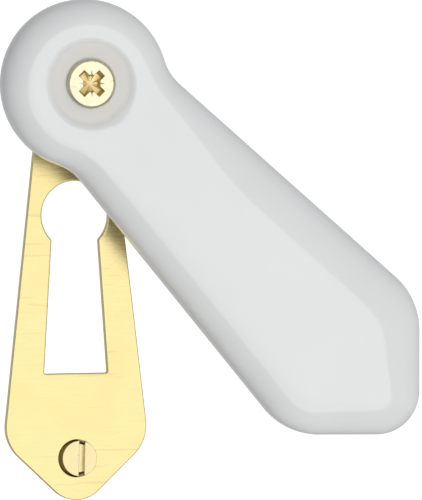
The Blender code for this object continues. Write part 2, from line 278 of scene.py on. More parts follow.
def pointed_end(corner, flank, end, shoulder_radius, tip_radius, steps):
    """Shoulder and tip arcs below a flank that widens downwards."""
    shoulder = corner_centre(corner, flank, -end, shoulder_radius)
    end_normal = ray(-end)
    tip = Vector((0.0, (end_normal.dot(corner) - tip_radius) / end_normal.y))
    return (arc(shoulder, shoulder_radius, flank, -end, steps)
            + arc(tip, tip_radius, -end, -math.pi / 2, steps))


def cover_outline(cover):
    corner = Vector((cover.shoulder_half_width, -cover.shoulder_drop))
    neck, head_end = neck_arc(cover.head_radius, cover.neck_radius, corner, cover.flank_angle, 20)
    return mirrored(
        arc((0, 0), cover.head_radius, math.pi / 2, head_end, 60)[:-1] + neck
        + pointed_end(corner, cover.flank_angle, cover.end_angle,
                      cover.shoulder_radius, cover.tip_radius, 24))


def plate_outline(plate):
    corner = Vector((plate.shoulder_half_width, -plate.shoulder_drop))
    top_radius = ray(plate.flank_angle).dot(corner)
    return mirrored(
        arc((0, 0), top_radius, math.pi / 2, plate.flank_angle, 24)
        + pointed_end(corner, plate.flank_angle, plate.end_angle,
                      plate.shoulder_radius, plate.tip_radius, 20))


def keyhole_outline(plate):
    corner = Vector((plate.keyhole_foot_half_width, -plate.keyhole_foot_drop))
    neck, head_end = neck_arc(plate.keyhole_radius, plate.keyhole_neck_radius, corner,
                              plate.keyhole_flank_angle, 8)
    foot = corner_centre(corner, plate.keyhole_flank_angle, -math.pi / 2,
                         plate.keyhole_corner_radius)
    about_centre = mirrored(
        arc((0, 0), plate.keyhole_radius, math.pi / 2, head_end, 40)[:-1] + neck
        + arc(foot, plate.keyhole_corner_radius, plate.keyhole_flank_angle, -math.pi / 2, 8))
    centre = Vector((0.0, -plate.keyhole_drop))
    return [(point + centre, normal) for point, normal in about_centre]


def spread(outline, spacing):
    """Add points along the straight stretches, so that none is longer than the spacing."""
    pairs = []
    for (point, normal), (after, after_normal) in zip(outline, outline[1:] + outline[:1]):
        count = max(1, math.ceil((after - point).length / spacing))
        for step in range(count):
            share = step / count
            pairs.append((point.lerp(after, share), normal.lerp(after_normal, share)))
    return pairs


def inset(outline, distance):
    return [point - distance * normal for point, normal in outline]


def at_height(points, height):
    return [Vector((point.x, -height, point.y)) for point in points]


def circle(radius, height, centre=(0.0, 0.0), steps=96):
    """A level loop of points round a centre."""
    return at_height([point for point, _ in arc(centre, radius, 0.0, 2 * math.pi, steps)[:-1]],
                     height)


# ---------------------------------------------------------------- solids

def bridge(shape, rows, ring=False):
    """Join a stack of closed rows of vertices with faces."""
    pairs = list(zip(rows, rows[1:]))
    if ring:
        pairs.append((rows[-1], rows[0]))
    for lower, upper in pairs:
        for index in range(len(lower)):
            after = (index + 1) % len(lower)
            shape.faces.new((lower[index], lower[after], upper[after], upper[index]))


def add_rows(shape, loops):
    return [[shape.verts.new(point) for point in loop] for loop in loops]


def finish_mesh(shape, name):
    bmesh.ops.recalc_face_normals(shape, faces=shape.faces)
    mesh = bpy.data.meshes.new(name)
    shape.to_mesh(mesh)
    shape.free()
    return mesh


def loft(name, loops, ring=False):
    """Skin a stack of loops: closed at both ends by a flat face, or back on itself as a ring."""
    shape = bmesh.new()
    rows = add_rows(shape, loops)
    bridge(shape, rows, ring)
    if not ring:
        shape.faces.new(rows[0])
        shape.faces.new(rows[-1])
    return finish_mesh(shape, name)


def turned(name, profile, ring=False):
    """A turned solid about the pivot's direction, from (radius, height) points."""
    return loft(name, [circle(radius, height) for radius, height in profile], ring)


def plain(mesh):
    """A mesh's object, linked to the scene."""
    piece = bpy.data.objects.new(mesh.name, mesh)
    bpy.context.scene.collection.objects.link(piece)
    return piece


def carved(mesh, cutters):
    """The mesh with each cutter's shape taken out of it."""
    piece = plain(mesh)
    tools = [plain(cutter) for cutter in cutters]
    for tool in tools:
        cut = piece.modifiers.new(tool.name, "BOOLEAN")
        cut.operation = "DIFFERENCE"
        cut.object = tool
    result = flattened(piece)
    for tool in tools:
        bpy.data.objects.remove(tool)
    return result


def flattened(piece):
    """The piece's evaluated mesh; the object itself is removed."""
    name = piece.name
    graph = bpy.context.evaluated_depsgraph_get()
    graph.update()
    mesh = bpy.data.meshes.new_from_object(piece.evaluated_get(graph))
    bpy.data.objects.remove(piece)
    mesh.name = name
    return mesh


def merged(name, meshes):
    """Several meshes as one."""
    shape = bmesh.new()
    for mesh in meshes:
        shape.from_mesh(mesh)
    mesh = bpy.data.meshes.new(name)
    shape.to_mesh(mesh)
    shape.free()
    return mesh


def placed(mesh, drop=0.0, across=0.0, turn=0.0):
    """Turn a mesh about the pivot's direction, and move it across and down."""
    mesh.transform(Matrix.Translation((across, 0.0, -drop)) @ Matrix.Rotation(turn, 4, "Y"))
    return mesh


def finished(mesh, name, material, body, node, sharp=30.0):
    """Shade a mesh, give it its material, and hand it to the frame in place of a CAD node."""
    mesh.name = name
    mesh.shade_smooth()
    mesh.set_sharp_from_angle(angle=math.radians(sharp))
    mesh.materials.clear()
    mesh.materials.append(material)
    piece = plain(mesh)
    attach(piece, body)
    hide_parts(node)
    return piece


def rolled(outline, radius, top, steps=6):
    """Loops of a rolled front edge, and one more loop on the flat beyond it."""
    loops = []
    for step in range(steps + 1):
        turn = math.pi / 2 * step / steps
        loops.append(at_height(inset(outline, radius * (1 - math.cos(turn))),
                               top - radius * (1 - math.sin(turn))))
    loops.append(at_height(inset(outline, radius * 1.2), top))
    return loops


# ---------------------------------------------------------------- geometry nodes

def fill(tree, node, links):
    """Give a node's inputs, by name or number, a value or another node's output."""
    for key, value in links.items():
        if isinstance(value, bpy.types.NodeSocket):
            tree.links.new(value, node.inputs[key])
        else:
            node.inputs[key].default_value = value


class Nodes:
    """A short way to add nodes to a tree and to join them."""

    def __init__(self, tree):
        self.tree = tree

    def add(self, kind, links=None, **settings):
        node = self.tree.nodes.new(kind)
        for name, value in settings.items():
            setattr(node, name, value)
        fill(self.tree, node, links or {})
        return node

    def math(self, operation, *values):
        return self.add("ShaderNodeMath", dict(enumerate(values)), operation=operation).outputs[0]

    def split(self, vector):
        return self.add("ShaderNodeSeparateXYZ", {0: vector}).outputs

    def combine(self, **parts):
        return self.add("ShaderNodeCombineXYZ", parts).outputs[0]

    def noise(self, vector, scale, detail, roughness):
        return self.add("ShaderNodeTexNoise", {
            "Vector": vector, "Scale": scale, "Detail": detail,
            "Roughness": roughness}).outputs["Fac"]

    def ramp(self, value, low, high, to_low=0.0, to_high=1.0):
        """Map a value between two limits, smoothly, onto another range."""
        return self.add("ShaderNodeMapRange", {
            "Value": value, "From Min": low, "From Max": high, "To Min": to_low,
            "To Max": to_high}, interpolation_type="SMOOTHSTEP").outputs[0]


class Group(Nodes):
    """A node group with named inputs, each a default value or a kind of socket, and outputs."""

    def __init__(self, name, kind, inputs, outputs):
        super().__init__(bpy.data.node_groups.new(name, kind))
        for way, sockets in (("INPUT", inputs), ("OUTPUT", outputs)):
            for label, value in sockets.items():
                self.socket(label, way, value)
        self.given = self.tree.nodes.new("NodeGroupInput").outputs
        self.results = self.tree.nodes.new("NodeGroupOutput").inputs

    def socket(self, label, way, value):
        kind = value if isinstance(value, str) else (
            "Int" if isinstance(value, int) else "Float")
        socket = self.tree.interface.new_socket(
            name=label, in_out=way, socket_type="NodeSocket" + kind)
        if value != kind:
            socket.default_value = value

    def give(self, **results):
        for label, result in results.items():
            self.tree.links.new(result, self.results[label])
        return self.tree

    def give_mesh(self, geometry):
        """Turn a geometry that lies along Z to face the door, make it real and paint it."""
        facing = self.add("GeometryNodeTransform", {
            "Geometry": geometry, "Rotation": (-math.pi / 2, 0.0, 0.0)})
        real = self.add("GeometryNodeRealizeInstances", {"Geometry": facing.outputs[0]})
        painted = self.add("GeometryNodeSetMaterial", {
            "Geometry": real.outputs[0], "Material": self.given["Material"]})
        return self.give(Mesh=painted.outputs[0])


def run_tree(tree, name, values):
    """Run a geometry node tree on an empty mesh, and give its result as a plain mesh."""
    piece = plain(bpy.data.meshes.new(name))
    modifier = piece.modifiers.new("tree", "NODES")
    modifier.node_group = tree
    sockets = {item.name: item.identifier for item in tree.interface.items_tree
               if item.in_out == "INPUT"}
    for label, value in values.items():
        modifier[sockets[label]] = value
    return flattened(piece)


def thread_tree(name):
    """A screw thread: a ridge that winds round a core and runs out along its point."""
    tree = Group(name, "GeometryNodeTree", {
        "Radius": 1.0 * MM, "Length": 8.0 * MM, "Point Length": 3.0 * MM, "Pitch": 1.2 * MM,
        "Ridge": 0.3 * MM, "Material": "Material"}, {"Mesh": "Geometry"})
    given = tree.given
    turns = tree.math("ROUND", tree.math("DIVIDE", given["Length"], given["Pitch"]))
    point_turns = tree.math("DIVIDE", given["Point Length"], given["Pitch"])
    narrow = tree.math("MULTIPLY", given["Radius"], 0.2)
    straight, tapered = [
        tree.add("GeometryNodeCurveSpiral", {
            "Resolution": 20, "Rotations": rotations, "Start Radius": given["Radius"],
            "End Radius": end, "Height": height}).outputs[0]
        for rotations, end, height in (
            (turns, given["Radius"], given["Length"]),
            (point_turns, narrow, given["Point Length"]))]
    lowered = tree.add("GeometryNodeTransform", {
        "Geometry": tapered, "Translation": tree.combine(Z=given["Length"])})
    both = tree.add("GeometryNodeJoinGeometry")
    for curve in (straight, lowered.outputs[0]):
        upright = tree.add("GeometryNodeSetCurveNormal", {"Curve": curve}, mode="Z_UP")
        section = tree.add("GeometryNodeCurvePrimitiveCircle", {
            "Resolution": 4, "Radius": given["Ridge"]})
        ridge = tree.add("GeometryNodeCurveToMesh", {
            "Curve": upright.outputs[0], "Profile Curve": section.outputs[0],
            "Fill Caps": True})
        tree.tree.links.new(ridge.outputs[0], both.inputs[0])
    return tree.give_mesh(both.outputs[0])


def washer_tree(name):
    """A spring washer: a flat strip bent round a ring, and waved along the ring's axis."""
    tree = Group(name, "GeometryNodeTree", {
        "Inner Radius": 2.6 * MM, "Outer Radius": 4.3 * MM, "Thickness": 0.25 * MM,
        "Swell": 0.25 * MM, "Waves": 3, "Material": "Material"}, {"Mesh": "Geometry"})
    given = tree.given
    inner, outer = given["Inner Radius"], given["Outer Radius"]
    ring = tree.add("GeometryNodeCurvePrimitiveCircle", {
        "Resolution": 120, "Radius": tree.math("MULTIPLY", tree.math("ADD", inner, outer), 0.5)})
    place = tree.split(tree.add("GeometryNodeInputPosition").outputs[0])
    around = tree.math("ARCTAN2", place["Y"], place["X"])
    wave = tree.math("SINE", tree.math("MULTIPLY", around, given["Waves"]))
    waved = tree.add("GeometryNodeSetPosition", {
        "Geometry": ring.outputs[0],
        "Offset": tree.combine(Z=tree.math("MULTIPLY", wave, given["Swell"]))})
    upright = tree.add("GeometryNodeSetCurveNormal", {"Curve": waved.outputs[0]}, mode="Z_UP")
    section = tree.add("GeometryNodeCurvePrimitiveQuadrilateral", {
        "Width": tree.math("SUBTRACT", outer, inner), "Height": given["Thickness"]})
    rounded = tree.add("GeometryNodeFilletCurve", {
        "Curve": section.outputs[0], "Radius": tree.math("MULTIPLY", given["Thickness"], 0.2),
        "Count": 2}, mode="POLY")
    strip = tree.add("GeometryNodeCurveToMesh", {
        "Curve": upright.outputs[0], "Profile Curve": rounded.outputs[0]})
    return tree.give_mesh(strip.outputs[0])


# ---------------------------------------------------------------- materials

def shared(name, build):
    """A node group or material that is built once and used by every piece that needs it."""
    store = bpy.data.materials if name.startswith("mat_") else bpy.data.node_groups
    return store.get(name) or build(name)


def mottle_group(name):
    """Soft cloudy variation: a mask from 0 to 1."""
    group = Group(name, "ShaderNodeTree", {
        "Vector": "Vector", "Scale": 200.0, "Contrast": 0.3}, {"Mask": "Float"})
    given = group.given
    noise = group.noise(given["Vector"], given["Scale"], 4.0, 0.55)
    return group.give(Mask=group.ramp(noise, group.math("SUBTRACT", 0.5, given["Contrast"]),
                                      group.math("ADD", 0.5, given["Contrast"])))


def grain_group(name):
    """Brushing along one direction: fine even lines, and a few longer and deeper scratches."""
    group = Group(name, "ShaderNodeTree", {
        "Vector": "Vector", "Along": 60.0, "Across": 4000.0, "Turn": 0.0},
        {"Lines": "Float", "Scratches": "Float"})
    given = group.given
    stretched = group.add("ShaderNodeMapping", {
        "Vector": given["Vector"], "Rotation": group.combine(Y=given["Turn"]),
        "Scale": group.combine(X=given["Along"], Y=given["Across"], Z=given["Across"])})
    lines = group.noise(stretched.outputs[0], 1.0, 3.0, 0.6)
    coarse = group.add("ShaderNodeVectorMath", {0: stretched.outputs[0], "Scale": 0.5},
                       operation="SCALE")
    marks = group.noise(coarse.outputs[0], 1.0, 1.0, 0.4)
    return group.give(Lines=lines, Scratches=group.ramp(marks, 0.68, 0.73))


def speck_group(name):
    """Small round specks or pits, scattered thinly."""
    group = Group(name, "ShaderNodeTree", {
        "Vector": "Vector", "Scale": 150.0, "Share": 0.12, "Size": 0.05}, {"Mask": "Float"})
    given = group.given
    cells = group.add("ShaderNodeTexVoronoi", {
        "Vector": given["Vector"], "Scale": given["Scale"]}).outputs
    draw = group.add("ShaderNodeSeparateColor", {0: cells["Color"]}).outputs["Red"]
    return group.give(Mask=group.math(
        "MULTIPLY", group.math("LESS_THAN", cells["Distance"], given["Size"]),
        group.math("LESS_THAN", draw, given["Share"])))


class Finish(Nodes):
    """A material being built: its tree, its shader and its object coordinates."""

    def __init__(self, name):
        self.material = bpy.data.materials.new(name)
        self.material.use_nodes = True
        super().__init__(self.material.node_tree)
        self.shader = self.tree.nodes["Principled BSDF"]
        self.coordinates = self.add("ShaderNodeTexCoord").outputs["Object"]

    def group(self, name, build, **values):
        node = self.add("ShaderNodeGroup", node_tree=shared(name, build))
        fill(self.tree, node, {"Vector": self.coordinates, **values})
        return node.outputs

    def clouds(self, scale, contrast):
        return self.group("mottle", mottle_group, Scale=scale, Contrast=contrast)["Mask"]

    def grain(self, along, across, turn=0.0):
        lines = self.group("brushing", grain_group, Along=along, Across=across, Turn=turn)
        return lines["Lines"], lines["Scratches"]

    def from_pivot(self, place):
        """Distance from the pivot's axis."""
        flat = self.combine(X=place["X"], Z=place["Z"])
        return self.add("ShaderNodeVectorMath", {0: flat}, operation="LENGTH").outputs["Value"]

    def mix(self, mask, first, second):
        """A colour that goes from the first to the second as the mask rises."""
        colours = [value if isinstance(value, bpy.types.NodeSocket) else (*value, 1.0)
                   for value in (first, second)]
        return self.add("ShaderNodeMix", {0: mask, 6: colours[0], 7: colours[1]},
                        data_type="RGBA").outputs[2]

    def set(self, **values):
        fill(self.tree, self.shader, {key.replace("_", " "): value
                                      for key, value in values.items()})
        return self.material

    def bump(self, height, distance, strength):
        node = self.add("ShaderNodeBump", {
            "Height": height, "Distance": distance, "Strength": strength})
        self.set(Normal=node.outputs[0])


def shaded(rgb, share):
    return tuple(channel * share for channel in rgb)


def porcelain(name):
    """Glossy white glaze, duller on the seat round the screw and painted darker there as shade in
    the recess, and dry clay on the flat back.
    """
    cover = bpy.context.scene.escutcheon.cover
    look = Finish(name)
    place = look.split(look.coordinates)
    # Mask of the seat round the screw: it is made duller, and its darker colour is painted shade
    # for the sunk recess.
    seat_dull_and_shaded = look.ramp(look.from_pivot(place), cover.recess_floor_radius * 0.98,
                     cover.recess_floor_radius + 0.9 * MM, 1.0, 0.0)
    front = look.ramp(place["Y"], -COVER_CROWN * 0.72, -COVER_CROWN * 0.6, 1.0, 0.0)
    seat_dull_and_shaded = look.math("MULTIPLY", seat_dull_and_shaded, front)
    back = look.ramp(place["Y"], -COVER_UNDERSIDE - 0.35 * MM, -COVER_UNDERSIDE - 0.05 * MM)
    clouds = look.clouds(90.0, 0.3)
    specks = look.group("specks", speck_group, Scale=190.0, Share=0.05, Size=0.06)["Mask"]
    ripple = look.noise(look.coordinates, 160.0, 1.0, 0.4)
    grit = look.noise(look.coordinates, 4000.0, 2.0, 0.6)
    glaze = look.mix(clouds, shaded(cover.glaze, 0.985), shaded(cover.glaze, 1.01))
    # Painted shade: the seat takes the darker clay colour.
    glaze = look.mix(seat_dull_and_shaded, glaze, shaded(cover.dry_clay_and_seat_shade, 0.98))
    glaze = look.mix(specks, glaze, cover.speck)
    dullness = look.math("MAXIMUM", look.math("MULTIPLY", seat_dull_and_shaded, 0.35),
                         look.math("MULTIPLY", back, 0.75))
    rough = look.math("ADD", dullness, look.ramp(clouds, 0.0, 1.0, 0.07, 0.1))
    height = look.math("ADD", ripple, look.math("MULTIPLY", look.math("MULTIPLY", grit, back), 0.6))
    look.bump(height, 0.02 * MM, 0.35)
    return look.set(Base_Color=look.mix(back, glaze, cover.dry_clay_and_seat_shade), Roughness=rough, IOR=1.58)


def brushed_brass(name):
    """Sheet brass, brushed from side to side, with a few scratches."""
    brass = bpy.context.scene.escutcheon.plate.brass
    look = Finish(name)
    lines, scratches = look.grain(260.0, 5200.0)
    slanting = look.grain(150.0, 3000.0, 0.5)[1]
    clouds = look.clouds(120.0, 0.25)
    tone = look.ramp(lines, 0.3, 0.7)
    base = look.mix(tone, shaded(brass, 0.93), shaded(brass, 1.05))
    warm = (brass[0], brass[1] * 0.96, brass[2] * 0.88)
    base = look.mix(look.math("MULTIPLY", clouds, 0.5), base, warm)
    marks = look.math("MAXIMUM", look.math("MULTIPLY", scratches, 0.25),
                      look.math("MULTIPLY", slanting, 0.25))
    base = look.mix(marks, base, shaded(brass, 0.6))
    rough = look.math("ADD", look.ramp(lines, 0.2, 0.8, 0.21, 0.29),
                      look.math("MULTIPLY", clouds, 0.04))
    look.bump(look.math("SUBTRACT", lines, marks), 0.01 * MM, 0.35)
    return look.set(Base_Color=base, Roughness=rough, Metallic=1.0, Anisotropic=0.5,
                    Anisotropic_Rotation=0.25)


def cutting_marks(look, metal):
    """Colour and roughness of turned metal; the marks in its surface are set as well."""
    lines, scratches = look.grain(900.0, 2600.0, 0.9)
    clouds = look.clouds(700.0, 0.25)
    base = look.mix(clouds, shaded(metal, 0.95), shaded(metal, 1.04))
    marks = look.math("MULTIPLY", scratches, 0.4)
    base = look.mix(marks, base, shaded(metal, 0.65))
    look.bump(look.math("SUBTRACT", look.math("MULTIPLY", lines, 0.5), marks), 0.008 * MM, 0.5)
    return base, look.ramp(clouds, 0.0, 1.0, 0.2, 0.32)


def turned_brass(name):
    """Turned brass, with faint cutting marks and light handling marks."""
    look = Finish(name)
    base, rough = cutting_marks(look, bpy.context.scene.escutcheon.fixing.brass)
    return look.set(Base_Color=base, Roughness=rough, Metallic=1.0)


def highlight_painted_brass(name):
    """The same in a pale colour that is a painted highlight on the face, with the cross recess kept
    brass coloured and duller.
    """
    pivot = bpy.context.scene.escutcheon.pivot
    look = Finish(name)
    base, rough = cutting_marks(look, pivot.highlight_pale_brass)
    place = look.split(look.coordinates)
    below = look.ramp(place["Y"], 0.05 * MM - PIVOT_SCREW_FACE, 0.25 * MM - PIVOT_SCREW_FACE)
    inside = look.ramp(look.from_pivot(place), pivot.cross_reach + 0.05 * MM,
                       pivot.cross_reach + 0.3 * MM, 1.0, 0.0)
    # The recess below the face is left out of the painted highlight and made duller.
    unhighlighted_recess = look.math("MULTIPLY", below, inside)
    rough = look.math("ADD", rough, look.math("MULTIPLY", unhighlighted_recess, 0.2))
    return look.set(Base_Color=look.mix(unhighlighted_recess, base, pivot.recess_brass), Roughness=rough,
                    Metallic=1.0)


def nylon(name):
    """Natural nylon, slightly waxy."""
    pale = bpy.context.scene.escutcheon.pivot.nylon
    look = Finish(name)
    clouds = look.clouds(500.0, 0.3)
    look.bump(clouds, 0.01 * MM, 0.3)
    return look.set(Base_Color=look.mix(clouds, shaded(pale, 0.95), pale),
                    Roughness=look.ramp(clouds, 0.0, 1.0, 0.42, 0.55))


def spring_steel(name):
    """Spring steel strip, rolled and lightly brushed round."""
    steel = bpy.context.scene.escutcheon.washer.steel
    look = Finish(name)
    lines, scratches = look.grain(300.0, 3000.0, 0.3)
    base = look.mix(lines, shaded(steel, 0.85), shaded(steel, 1.1))
    base = look.mix(scratches, base, shaded(steel, 0.5))
    look.bump(lines, 0.01 * MM, 0.4)
    return look.set(Base_Color=base, Metallic=1.0,
                    Roughness=look.ramp(lines, 0.2, 0.8, 0.25, 0.42))


def floor_paint(name):
    """Matt pale paint, which shows as plain white to the camera."""
    pale = bpy.context.scene.escutcheon.stage.floor
    look = Finish(name)
    clouds = look.clouds(3.0, 0.4)
    seen = look.add("ShaderNodeLightPath").outputs["Is Camera Ray"]
    return look.set(Base_Color=look.mix(clouds, shaded(pale, 0.995), pale), Roughness=0.8,
                    Emission_Color=look.mix(seen, (0.0, 0.0, 0.0), (1.0, 1.0, 1.0)),
                    Emission_Strength=1.0)


# ---------------------------------------------------------------- the cover

def soft_distance(points, outline):
    """A smooth distance from a closed outline, which has no crease midway between its sides.

    Each edge of the outline pushes with the inverse cube of the distance. Close to one long
    edge the result is the plain distance from it.
    """
    push = np.zeros(len(points))
    for start, end in zip(outline, np.roll(outline, -1, axis=0)):
        length = np.linalg.norm(end - start)
        along = (end - start) / length
        before = (points - start) @ along
        after = before - length
        aside = ((points - start) @ np.array([-along[1], along[0]])) ** 2 + 1e-14
        push += (before / np.sqrt(aside + before ** 2)
                 - after / np.sqrt(aside + after ** 2)) / aside
    return np.sqrt(2.0 / push)


def smooth_step(values, low, high):
    share = np.clip((values - low) / (high - low), 0.0, 1.0)
    return share * share * (3.0 - 2.0 * share)


def core_points(outline, cover, spine_end):
    """Where each outline point's row ends: on the bore, or on the line down the middle.

    Rows from the round head end on the bore, which they go right round. Rows from below the
    neck end on the line, straight across from where they start.
    """
    neck_drop = 10.0 * MM
    straight_drop = neck_drop + 20.0 * MM
    neck_turn = math.asin(neck_drop / cover.head_radius)
    drop = -outline[:, 1]
    from_top = math.pi / 2 - np.arcsin(np.clip(outline[:, 1] / cover.head_radius, -1.0, 1.0))
    turn = from_top * math.pi / (math.pi / 2 + neck_turn)
    side = np.sign(outline[:, 0])
    on_bore = cover.bore_radius * np.stack([side * np.sin(turn), np.cos(turn)], 1)
    lead = (neck_drop - cover.bore_radius) * (1.0 - smooth_step(drop, neck_drop, straight_drop))
    on_line = np.stack([np.zeros(len(drop)), -np.minimum(drop - lead, spine_end)], 1)
    return np.where((drop < neck_drop)[:, None], on_bore, on_line)


def cover_mesh(cover):
    """The cover, hanging straight. Rows of points run from its flat back round to its bore."""
    outline = spread(cover_outline(cover), 0.55 * MM)
    edge = np.array([tuple(point) for point, _ in outline])
    normal = np.array([tuple(out) for _, out in outline])
    under_reach = cover.widest_height - COVER_UNDERSIDE
    rise = COVER_CROWN - cover.side_height
    fullness = cover.dome_fullness
    spine_margin = 8.0 * MM
    spine_end = -edge[:, 1].min() - spine_margin
    middle = np.array([[0.0, -0.8 * cover.shoulder_drop]])
    middle_reach = soft_distance(middle, edge)[0]
    dome_reach = cover.dome_spread * middle_reach

    def rounded(distance):
        share = np.clip(1.0 - distance / dome_reach, 0.0, 1.0)
        return (1.0 - share ** fullness) ** (1.0 / fullness)

    full = rounded(dome_reach / cover.dome_spread)
    blend = 0.25 * MM
    crest_end, plain_start = 6.0 * MM, 34.0 * MM
    above_crown = COVER_CROWN + 0.4 * MM

    def top_height(points):
        """The dome, held lower towards the head, with the recess for the screw sunk into it."""
        dome = cover.side_height + rise * rounded(soft_distance(points, edge)) / full
        from_pivot = np.linalg.norm(points, axis=1)
        ceiling = cover.head_crown + (above_crown - cover.head_crown) * smooth_step(
            from_pivot, crest_end, plain_start)
        height = (dome + ceiling - np.sqrt((dome - ceiling) ** 2 + blend ** 2)) / 2
        height = np.minimum(height, COVER_CROWN)
        share = smooth_step(from_pivot, cover.recess_floor_radius, cover.recess_rim_radius)
        return cover.recess_floor_height + (height - cover.recess_floor_height) * share

    rows = []
    core = core_points(edge, cover, spine_end)
    back_edge = edge - under_reach * normal
    for share in np.linspace(0.0, 1.0, 9)[:-1]:
        rows.append((core + (back_edge - core) * share, np.full(len(edge), COVER_UNDERSIDE)))
    for turn in np.linspace(0.0, math.pi / 2, 14)[:-1]:
        inward = under_reach * (1.0 - math.sin(turn))
        height = COVER_UNDERSIDE + under_reach * (1.0 - math.cos(turn))
        rows.append((edge - inward * normal, np.full(len(edge), height)))

    for height in (cover.widest_height, cover.side_height):
        rows.append((edge, np.full(len(edge), height)))
    shelf = 4.6 * MM
    last = math.acos((1.0 - shelf / dome_reach) ** (fullness / 2))
    for turn in np.linspace(0.0, last, 26)[1:]:
        points = edge - dome_reach * (1.0 - math.cos(turn) ** (2.0 / fullness)) * normal
        rows.append((points, top_height(points)))
    start = rows[-1][0]
    for share in np.linspace(0.0, 1.0, 37)[1:]:
        points = start + (core - start) * share
        rows.append((points, top_height(points)))

    shape = bmesh.new()
    grid = add_rows(shape, [
        [(x, -height, z) for (x, z), height in zip(points, heights)] for points, heights in rows])
    bridge(shape, grid)
    on_bore = np.linalg.norm(core, axis=1) < cover.bore_radius * 1.001
    for index in range(len(edge)):
        after = (index + 1) % len(edge)
        if on_bore[index] and on_bore[after]:
            shape.faces.new((grid[-1][index], grid[-1][after], grid[0][after], grid[0][index]))
    bmesh.ops.remove_doubles(shape, verts=shape.verts, dist=0.004 * MM)
    bmesh.ops.dissolve_degenerate(shape, edges=shape.edges, dist=0.001 * MM)
    return finish_mesh(shape, "porcelain_cover")


class ESCUTCHEON_OT_cover(bpy.types.Operator):
    """Make the porcelain cover that swings in front of the keyhole"""
    bl_idname = "escutcheon.make_cover"
    bl_label = "Porcelain Cover"

    def execute(self, context):
        cover = context.scene.escutcheon.cover
        mesh = placed(cover_mesh(cover), turn=-cover.swing)
        finished(mesh, "porcelain_cover", shared("mat_porcelain", porcelain),
                 "cover", "swing_cover", sharp=50.0)
        return {"FINISHED"}


# ---------------------------------------------------------------- the plate

def plate_mesh(plate, pivot):
    """The plate: rolled edges at the front, and flat faces filled between its outline and holes."""
    shape = bmesh.new()
    outer = spread(plate_outline(plate), 1.5 * MM)
    keyhole = spread(keyhole_outline(plate), 1.5 * MM)
    rivet = pivot.pillar_tail_radius + GAP
    front_edges = []
    back_edges = []

    def wall(loops):
        rows = add_rows(shape, loops)
        bridge(shape, rows)
        back_edges.append(rows[0])
        front_edges.append(rows[-1])

    nick = 0.05 * MM
    burr = 0.06 * MM
    pierced = ((0.0, 0.42), (0.05, 0.2), (0.16, 0.1), (0.36, 0.045), (0.65, 0.012), (0.9, 0.0),
               (1.1, 0.0))
    wall([at_height(inset(outer, nick), 0.0), at_height(inset(outer, 0.0), nick)]
         + rolled(outer, plate.edge_rounding, PLATE_THICKNESS))
    wall([at_height(inset(keyhole, -nick), 0.0), at_height(inset(keyhole, 0.0), nick)]
         + [at_height(inset(keyhole, -aside * plate.keyhole_draw),
                      PLATE_THICKNESS - down * plate.keyhole_draw) for aside, down in pierced])
    wall([circle(radius, height, steps=72) for radius, height in (
        (rivet + pivot.rivet_flare, 0.0), (rivet, pivot.rivet_flare),
        (rivet, PLATE_THICKNESS - 0.1 * MM), (rivet + 0.1 * MM, PLATE_THICKNESS),
        (rivet + 0.2 * MM, PLATE_THICKNESS))])
    mouth = plate.countersink_radius
    for name in FIXING_SCREWS:
        low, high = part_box(name)
        wall([circle(radius, height, (0.0, (low.z + high.z) / 2), 72) for radius, height in (
            (plate.screw_hole_radius, 0.0), (mouth - burr, PLATE_THICKNESS - burr),
            (mouth, PLATE_THICKNESS - 0.2 * burr), (mouth + burr, PLATE_THICKNESS),
            (mouth + 2 * burr, PLATE_THICKNESS))])
    for edges in (back_edges, front_edges):
        lines = []
        for row in edges:
            for index, vertex in enumerate(row):
                lines.append(shape.edges.get((vertex, row[(index + 1) % len(row)])))
        bmesh.ops.triangle_fill(shape, edges=lines, use_beauty=True, use_dissolve=False)
    return finish_mesh(shape, "brass_plate")


class ESCUTCHEON_OT_plate(bpy.types.Operator):
    """Make the stamped brass plate with its keyhole"""
    bl_idname = "escutcheon.make_plate"
    bl_label = "Brass Plate"

    def execute(self, context):
        settings = context.scene.escutcheon
        finished(plate_mesh(settings.plate, settings.pivot), "brass_plate",
                 shared("mat_brushed_brass", brushed_brass),
                 "plate", "back_plate", sharp=40.0)
        return {"FINISHED"}


# ---------------------------------------------------------------- the pivot

def cross_cutters(pivot):
    """A cross recess with a round pocket, and the four fine marks between its arms."""
    floor = PIVOT_SCREW_FACE - pivot.cross_depth
    above = PIVOT_SCREW_FACE + 0.5 * MM
    shares = (
        (floor, 0.22, 0.3, 0.3), (floor + 0.22 * MM, 0.8, 0.82, 0.84),
        (PIVOT_SCREW_FACE - 0.06 * MM, 0.97, 0.98, 0.97), (PIVOT_SCREW_FACE, 1.0, 1.05, 1.02),
        (above, 1.0, 1.05, 1.02))
    pocket_points = ((0.62, 0.97), (math.pi / 4, 1.12), (math.pi / 2 - 0.62, 0.97))
    loops = []
    for height, reach, width, pocket in shares:
        loop = []
        for arm in range(4):
            along = ray(arm * math.pi / 2)
            half = width * pivot.cross_width / 2 * Vector((-along.y, along.x))
            end = reach * pivot.cross_reach * along
            start = end * 0.55
            loop += [start - half, end - half, end + half, start + half]
            loop += [pocket * swell * pivot.cross_pocket * ray(arm * math.pi / 2 + turn)
                     for turn, swell in pocket_points]
        loops.append(at_height(loop, height))
    cutters = [loft("cross_cutter", loops)]
    mark_start, mark_end, mark_half_width, mark_depth = 1.1 * MM, 1.85 * MM, 0.13 * MM, 0.35 * MM
    for arm in range(4):
        along = ray(math.pi / 4 + arm * math.pi / 2)
        side = Vector((-along.y, along.x)) * mark_half_width
        base = [mark_start * along - side, mark_end * along, mark_start * along + side]
        cutters.append(loft("mark_cutter", [at_height(base, PIVOT_SCREW_FACE - mark_depth),
                                            at_height(base, above)]))
    return cutters


